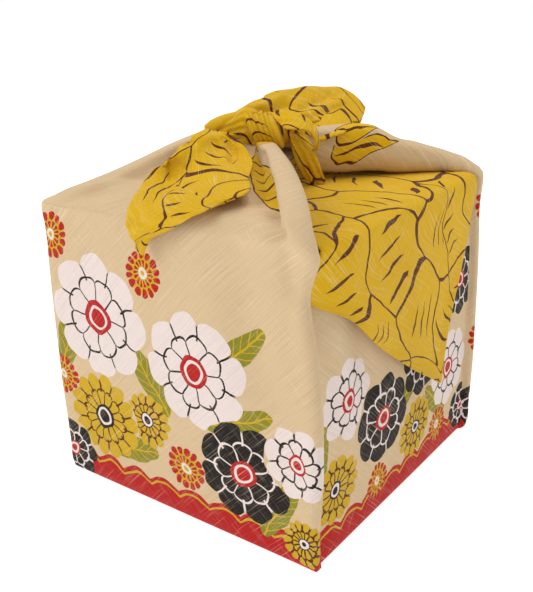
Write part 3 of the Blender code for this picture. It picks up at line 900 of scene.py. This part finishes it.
# In metres: where each piece of the knot lies on the flat cloth, and its flat size.
TIED = {
    "knot_core": ((0.02, -0.58), (0.035, 0.032), "gathered"),
    "knot_turn": ((0.03, -0.60), (0.045, 0.025), "gathered"),
    "knot_lobe": ((-0.06, -0.62), (0.038, 0.03), "gathered"),
    "knot_neck": ((0.02, 0.45), (0.014, 0.045), "gathered"),
    "knot_loop": ((-0.06, 0.50), (0.012, 0.052), "folded"),
    "left_end": ((-0.02, -0.66), (0.09, 0.12), "folded"),
    "right_end": ((-0.02, 0.50), (0.065, 0.092), "folded"),
}


def dress(piece):
    """The knot's pieces take the same cloth and are attached to the bundle's root body."""
    piece.data.materials.append(cotton)
    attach(piece, "root")
    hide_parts("furoshiki_cloth")


def flat_places(name, across, up):
    """Where a knot piece's points lie on the flat cloth, in metres."""
    start_across, start_up = TIED[name][0]
    return np.stack([across * MM + start_across, up * MM + start_up], axis=-1)


def make_strand(name, rows, side_hint, creases, lean=(0.0, 0.0, 0.0)):
    """A closed strand of gathered cloth with an oval section at each row of its table."""
    table = np.array(rows, float)
    table = smoothed(table, step_counts(table[:, :3], STRAND_PITCH))
    centres = [Vector(row[:3]) for row in table]
    girth = math.tau * max(max(row[3:5]) for row in rows)
    sides = round(girth / STRAND_PITCH)
    hint = Vector(side_hint)
    net = []
    for index, row in enumerate(table):
        along = centres[min(index + 1, len(table) - 1)] - centres[max(index - 1, 0)]
        along.normalize()
        side = (hint - along * hint.dot(along)).normalized()
        over = side.cross(along)
        ring = []
        for number in range(sides + 1):
            angle = math.tau * (number / sides - 0.5)
            point = side * row[3] * math.sin(angle) + over * row[4] * math.cos(angle)
            point += centres[index] + Vector(lean) * point.z
            ring.append(tuple(point))
        net.append(ring)
    net = np.array(net)
    across, up = measured_flat(net)
    net = creased(net, creases, 0.0)
    net[:, -1] = net[:, 0]
    shape = bmesh.new()
    add_net(shape, net, flat_places(name, across, up))
    bmesh.ops.remove_doubles(shape, verts=shape.verts, dist=WELD)
    bmesh.ops.holes_fill(shape, edges=[edge for edge in shape.edges if edge.is_boundary], sides=0)
    dress(make_piece(name, shape, 0.0))


make_strand("knot_core", KNOT_CORE, (1.0, 0.0, 0.0), ())
make_strand("knot_turn", KNOT_TURN, (0.6, -0.8, 0.0), TURN_CREASES, KNOT_LEAN)
make_strand("knot_lobe", KNOT_LOBE, (-0.3, 1.0, 0.0), LOBE_CREASES)
make_strand("knot_neck", KNOT_NECK, (-0.8, -0.6, 0.0), NECK_CREASES)

# The knot's open loop: a band of the same cloth, one layer, that leaves the turn over the gap,
# bends down and comes back in under itself.
KNOT_LOOP = [
    # its upper edge and its lower one
    ((3.5, -1.0, 235.0), (16.5, -7.0, 229.0)),
    ((7.0, 2.5, 237.4), (19.9, -8.0, 228.4)),
    ((13.9, 5.0, 237.0), (25.1, -6.0, 228.3)),
    ((21.8, 7.0, 234.8), (28.1, -2.0, 227.6)),
    ((27.3, 8.0, 231.1), (30.4, 1.0, 226.1)),
    ((30.5, 9.0, 227.0), (31.9, 3.0, 223.3)),
    ((32.3, 9.0, 221.6), (32.4, 4.0, 219.5)),
    ((32.0, 10.0, 216.0), (31.5, 5.0, 215.5)),
    ((28.0, 13.0, 212.5), (27.0, 8.0, 213.0)),
    ((22.0, 16.0, 214.5), (21.0, 11.0, 216.0)),
    ((17.0, 16.0, 221.0), (15.0, 12.0, 221.0)),
    ((14.0, 13.0, 228.0), (11.0, 9.0, 227.0)),
    ((11.0, 9.0, 232.0), (8.0, 6.0, 230.0)),
]
LOOP_ACROSS = (0.0, 0.25, 0.5, 0.75, 1.0)
LOOP_HEART = Vector((12.0, 8.0, 222.0))
LOOP_ARCH = 5.2
LOOP_CREASES = [
    (-3.0, 6.0, -1.0, 26.0, 2.0, -0.8),
    (4.0, 0.0, 1.0, 24.0, 2.0, -0.8),
]


def make_sheet(name, rows, creases, pitch, from_edge=False):
    """A piece of thin cloth through a coarse table of rows of points."""
    net = fine_net(rows, pitch)
    across, up = measured_flat(net)
    net = creased(net, creases, 0.0, from_edge=from_edge)
    shape = bmesh.new()
    add_net(shape, net, flat_places(name, across, up))
    dress(make_piece(name, shape, CLOTH))


rows = []
for upper, lower in KNOT_LOOP:
    upper, lower = Vector(upper), Vector(lower)
    outward = (upper.lerp(lower, 0.5) - LOOP_HEART).normalized()
    rows.append([
        tuple(upper.lerp(lower, share) + outward * LOOP_ARCH * share * (1.0 - share))
        for share in LOOP_ACROSS
    ])
make_sheet("knot_loop", rows, LOOP_CREASES, KNOT_PITCH)

# The free ends are the cloth's own corners. Each is folded double along one edge and lies like a
# leaf, the left one over the front edge of the bundle and the right one up behind the knot.
LEFT_END = [
    # six points across, from the open edge to the folded one
    [(11.2, -36.3, 221.0), (5.4, -33.5, 223.5), (0.1, -34.2, 225.5),
     (-5.9, -35.1, 227.5), (-14.0, -34.5, 228.5), (-21.5, -34.0, 229.0)],
    [(21.4, -44.2, 216.5), (10.3, -39.1, 218.5), (-0.9, -36.1, 221.0),
     (-7.2, -41.3, 224.0), (-11.5, -49.6, 226.5), (-17.4, -56.1, 226.5)],
    [(34.9, -64.8, 213.0), (22.2, -60.2, 214.0), (8.4, -55.5, 215.0),
     (-2.9, -57.0, 217.0), (-11.5, -61.9, 218.5), (-19.7, -69.0, 219.0)],
    [(49.0, -87.2, 210.0), (37.2, -85.3, 210.5), (20.6, -79.4, 210.5),
     (1.8, -71.9, 209.5), (-15.9, -70.0, 208.5), (-25.7, -77.2, 211.5)],
    [(40.7, -94.1, 206.5), (34.3, -99.4, 205.8), (24.1, -100.4, 205.2),
     (10.6, -98.1, 204.5), (-8.4, -91.9, 204.0), (-22.4, -91.5, 205.3)],
    [(34.2, -106.0, 202.5), (25.7, -107.5, 200.1), (15.7, -107.5, 198.1),
     (5.2, -107.0, 198.1), (-5.3, -106.0, 199.2), (-17.2, -104.5, 200.9)],
    [(18.6, -106.5, 193.1), (10.8, -107.5, 191.3), (2.5, -107.5, 189.5),
     (-4.8, -107.5, 190.1), (-13.3, -106.5, 191.4), (-21.0, -105.0, 193.9)],
    [(4.4, -107.5, 185.6), (-0.8, -108.5, 183.9), (-5.7, -109.0, 183.2),
     (-10.2, -109.0, 183.6), (-14.7, -108.5, 185.1), (-18.6, -107.5, 188.0)],
    [(-7.9, -108.5, 181.0), (-9.8, -109.0, 180.3), (-11.2, -109.2, 180.0),
     (-12.7, -109.2, 180.0), (-14.4, -109.0, 180.7), (-16.3, -108.5, 182.5)],
]
RIGHT_END = [
    [(-1.0, -5.9, 231.6), (-3.1, -7.0, 232.9), (-5.3, -8.2, 234.1),
     (-7.4, -9.4, 235.3), (-9.5, -10.5, 236.6), (-11.4, -12.0, 237.6)],
    [(4.2, 6.9, 230.7), (0.6, 4.5, 232.7), (-3.1, 3.4, 235.0),
     (-6.1, 2.2, 236.8), (-9.0, 1.1, 238.6), (-11.7, 0.6, 240.3)],
    [(9.4, 14.5, 228.7), (5.3, 12.8, 231.1), (0.3, 12.5, 234.5),
     (-4.0, 12.1, 237.4), (-8.0, 12.4, 240.2), (-11.2, 12.6, 242.5)],
    [(12.6, 19.7, 227.5), (8.4, 19.4, 230.4), (3.4, 21.1, 234.1),
     (-1.6, 22.8, 238.0), (-6.1, 23.9, 241.3), (-9.9, 24.8, 244.1)],
    [(15.7, 26.4, 226.7), (11.3, 27.4, 230.0), (6.3, 29.2, 233.8),
     (1.6, 31.7, 237.6), (-2.7, 33.4, 240.9), (-6.5, 35.7, 244.0)],
    [(19.5, 34.4, 225.8), (14.6, 36.3, 229.6), (9.9, 38.8, 233.3),
     (5.5, 42.0, 237.1), (1.0, 45.3, 240.8), (-3.1, 49.2, 244.4)],
    [(24.0, 42.9, 224.5), (19.1, 45.9, 228.5), (14.7, 49.2, 232.2),
     (10.5, 53.3, 235.9), (6.4, 57.4, 239.6), (2.6, 60.8, 242.8)],
    [(27.5, 50.6, 223.6), (23.8, 54.2, 226.9), (19.7, 58.3, 230.6),
     (15.9, 63.2, 234.2), (12.1, 68.2, 237.9), (8.5, 72.7, 241.2)],
    [(30.1, 56.3, 223.0), (27.6, 60.5, 225.6), (24.8, 63.8, 228.2),
     (21.7, 68.3, 231.3), (19.1, 72.0, 233.9), (16.5, 76.2, 236.4)],
    [(31.1, 59.7, 223.0), (30.4, 62.9, 224.2), (29.6, 65.7, 225.3),
     (28.5, 68.9, 226.7), (27.3, 71.9, 228.2), (26.1, 74.2, 229.4)],
]
# Where the turned-under layer's edge lies from the open edge, at each row, and how far apart the
# two layers are.
LEFT_UNDER = [
    (0.0, 0.0, -2.5), (0.0, 0.0, -2.5), (-2.0, 0.0, -2.5), (-3.0, 0.0, -2.5), (-3.0, 1.0, -2.5),
    (-3.0, 2.0, -2.0), (-5.0, 2.0, -1.0), (-7.0, 1.0, -3.5), (0.5, 0.5, -8.5),
]
RIGHT_UNDER = [
    (0.0, 0.0, -2.5), (0.0, 0.0, -2.5), (4.0, -1.0, -4.0), (9.0, -2.0, -7.5), (11.0, -6.2, -9.4),
    (11.8, -9.8, -6.7), (11.7, -13.1, -3.7), (8.5, -10.6, -0.8), (1.0, -4.0, -1.5), (0.0, 0.0, -1.5),
]
END_GAP = 2.6
HALF_FOLD = 1.3
FOLD_OUT = 1.04
UNDER_EASE = 1.5
END_PITCH = 1.6
# Creases of an end: across from its open edge and along it from the knot.
LEFT_END_CREASES = [
    (68.0, 44.0, 50.0, 20.0, 2.8, -2.4),
    (68.0, 44.0, 79.0, 43.0, 2.6, -2.0),
    (66.0, 38.0, 56.0, 26.0, 2.6, 1.6),
    (23.0, 5.0, 20.0, 20.0, 2.4, -3.4),
    (30.0, 8.0, 27.0, 24.0, 3.0, 1.5),
    (64.0, 46.0, 18.0, 70.0, 4.5, -1.3),
    (40.0, 66.0, 24.0, 96.0, 6.0, 1.0),
    (56.0, 56.0, 38.0, 82.0, 4.0, -0.9),
]
RIGHT_END_CREASES = [
    (8.0, 4.0, 16.0, 34.0, 2.4, 2.0),
    (4.0, 8.0, 6.0, 34.0, 2.0, -1.6),
    (14.0, 10.0, 24.0, 36.0, 2.2, -2.2),
    (22.0, 2.0, 26.0, 26.0, 2.4, 1.6),
    (4.0, 33.0, 20.0, 76.0, 2.0, -2.4),
    (9.5, 34.0, 26.0, 74.0, 2.8, 1.6),
]


def folded(rows, under):
    """An end's rows, carried round its fold and back to the under layer's edge."""
    points = np.array(rows)
    normals = net_normals(points)
    normals *= np.where(normals[..., 2:] < 0.0, -1.0, 1.0)
    share = np.linspace(1.0, 0.0, points.shape[1])[None, :, None]
    below = points - normals * END_GAP * (1.0 - share)
    below += share ** UNDER_EASE * np.array(under)[:, None, :]
    outward = points[:, -1:] - points[:, -2:-1]
    outward /= np.linalg.norm(outward, axis=-1, keepdims=True)
    fold = points[:, -1:] - normals[:, -1:] * HALF_FOLD + outward * FOLD_OUT
    return np.concatenate([points, fold, below[:, ::-1]], axis=1)


rows = folded(LEFT_END, LEFT_UNDER)
make_sheet("left_end", rows, LEFT_END_CREASES, END_PITCH, from_edge=True)
rows = folded(RIGHT_END, RIGHT_UNDER)
make_sheet("right_end", rows, RIGHT_END_CREASES, END_PITCH, from_edge=True)

# The camera stands at the photograph's angle, a little above the bundle and tipped by a trace.
AZIMUTH = 0.64701
ELEVATION = 0.36923
ROLL = -0.03154
CAMERA_PLACE = Vector((0.31766, -0.42670, 0.32018))
FOCAL_PIXELS = 855.37
PHOTO_LONG_SIDE = 592.0
SENSOR = 36.0

back_axis = Vector((
    math.sin(AZIMUTH) * math.cos(ELEVATION),
    -math.cos(AZIMUTH) * math.cos(ELEVATION),
    math.sin(ELEVATION),
))
level = Vector((math.cos(AZIMUTH), math.sin(AZIMUTH), 0.0))
upward = back_axis.cross(level)
right_axis = level * math.cos(ROLL) + upward * math.sin(ROLL)
up_axis = upward * math.cos(ROLL) - level * math.sin(ROLL)
lens = bpy.data.cameras.new("camera")
lens.sensor_width = SENSOR
lens.lens = FOCAL_PIXELS * SENSOR / PHOTO_LONG_SIDE
lens.clip_start = 0.01
camera = bpy.data.objects.new("camera", lens)
bpy.context.scene.collection.objects.link(camera)
turned = Matrix((right_axis, up_axis, back_axis)).transposed()
camera.matrix_world = Matrix.Translation(CAMERA_PLACE) @ turned.to_4x4()
bpy.context.scene.camera = camera

# The floor is a wide pale sweep, and the light is a soft studio's: a large lamp at the upper
# left, a second one above and an even pale surround.
shape = bmesh.new()
bmesh.ops.create_grid(shape, x_segments=1, y_segments=1, size=20.0)
floor_mesh = bpy.data.meshes.new("floor")
shape.to_mesh(floor_mesh)
shape.free()
floor = bpy.data.objects.new("floor", floor_mesh)
bpy.context.scene.collection.objects.link(floor)
paper = bpy.data.materials.new("pale paper")
paper.use_nodes = True
finish = paper.node_tree.nodes["Principled BSDF"].inputs
finish["Base Color"].default_value = (0.6, 0.6, 0.6, 1.0)
finish["Roughness"].default_value = 0.9
finish["Emission Color"].default_value = (1.0, 1.0, 1.0, 1.0)
finish["Emission Strength"].default_value = 0.74
floor.data.materials.append(paper)

LAMP_AIM = Vector((0.0, 0.0, 0.12))
LAMPS = [
    # name, place, size, power
    ("key lamp", (-0.7, -1.3, 1.5), 1.2, 15.0),
    ("top lamp", (0.35, 0.5, 1.9), 1.2, 15.0),
]
for name, place, size, power in LAMPS:
    light = bpy.data.lights.new(name, "AREA")
    light.size = size
    light.energy = power
    lamp = bpy.data.objects.new(name, light)
    lamp.location = place
    lamp.rotation_euler = (LAMP_AIM - lamp.location).to_track_quat("-Z", "Y").to_euler()
    bpy.context.scene.collection.objects.link(lamp)

surround = bpy.data.worlds.new("studio")
surround.use_nodes = True
finish = surround.node_tree.nodes["Background"].inputs
finish["Color"].default_value = (1.0, 0.99, 0.97, 1.0)
finish["Strength"].default_value = 0.42
bpy.context.scene.world = surround
bpy.context.scene.view_settings.view_transform = "Standard"
